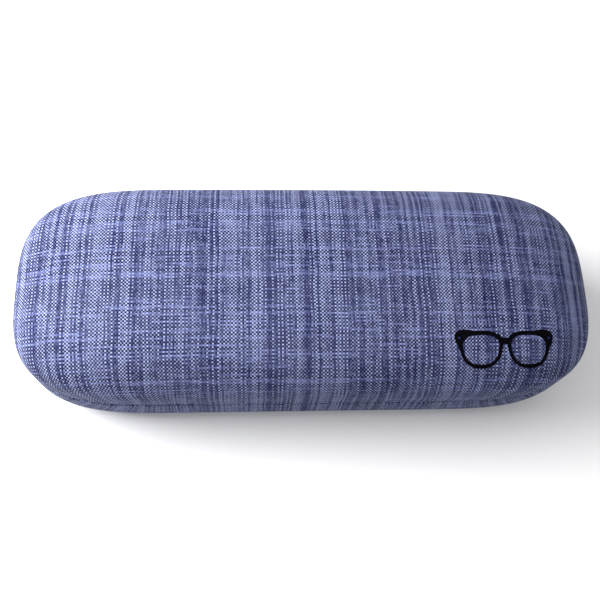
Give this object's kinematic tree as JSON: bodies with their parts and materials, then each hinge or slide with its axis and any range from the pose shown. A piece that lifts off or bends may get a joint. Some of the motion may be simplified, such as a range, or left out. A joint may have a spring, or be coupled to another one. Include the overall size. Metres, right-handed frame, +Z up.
{
  "type": "eyeglasses case",
  "caption": "Hard clamshell eyeglasses case: pill-shaped, cloth-covered steel shells with flocked trays, opening on a back hinge with a snap spring.",
  "frame": {"origin": "middle of the flat underside that the case rests on", "axes": "+Z up, +X to the right along the length, -Y towards the front where the case opens; the hinge runs along X at the back"},
  "size_m": [0.162, 0.0632, 0.038],
  "materials": {
    "woven_cloth": "coarse plain weave of pale and navy yarns, slubbed, matt",
    "foam": "thin sponge sheet",
    "shell_steel": "drawn sheet, uncoated",
    "flock": "short dark flock on a formed tray",
    "hinge_steel": "plated",
    "spring_steel": "tempered, lightly oiled"
  },
  "bodies": {
    "base": {"base_cover": "woven_cloth", "base_foam": "foam", "base_shell": "shell_steel", "base_liner": "flock", "base_hinge_leaf_left": "hinge_steel", "base_hinge_leaf_right": "hinge_steel", "base_rivet_1": "hinge_steel", "base_rivet_2": "hinge_steel", "base_rivet_3": "hinge_steel", "base_rivet_4": "hinge_steel", "hinge_pin": "hinge_steel", "hinge_strip": "woven_cloth"},
    "lid": {"lid_cover": "woven_cloth", "lid_foam": "foam", "lid_shell": "shell_steel", "lid_liner": "flock", "lid_hinge_leaf_left": "hinge_steel", "lid_hinge_leaf_right": "hinge_steel", "lid_rivet_1": "hinge_steel", "lid_rivet_2": "hinge_steel", "lid_rivet_3": "hinge_steel", "lid_rivet_4": "hinge_steel"},
    "spring": {"snap_spring": "spring_steel"}
  },
  "joints": [
    {"name": "lid_hinge", "type": "hinge", "parent": "base", "child": "lid", "pos_m": [0, 0.03055, 0.0185], "axis": [-1, 0, 0], "range_deg": [0, 105], "deforming": ["hinge_strip"]},
    {"name": "spring_swing", "type": "hinge", "parent": "base", "child": "spring", "pos_m": [0, 0.02898, 0.0148], "axis": [-1, 0, 0], "range_deg": [0, 52.5]}
  ],
  "couplings": [
    {"joint": "spring_swing", "follows": "lid_hinge", "ratio": 0.5}
  ]
}
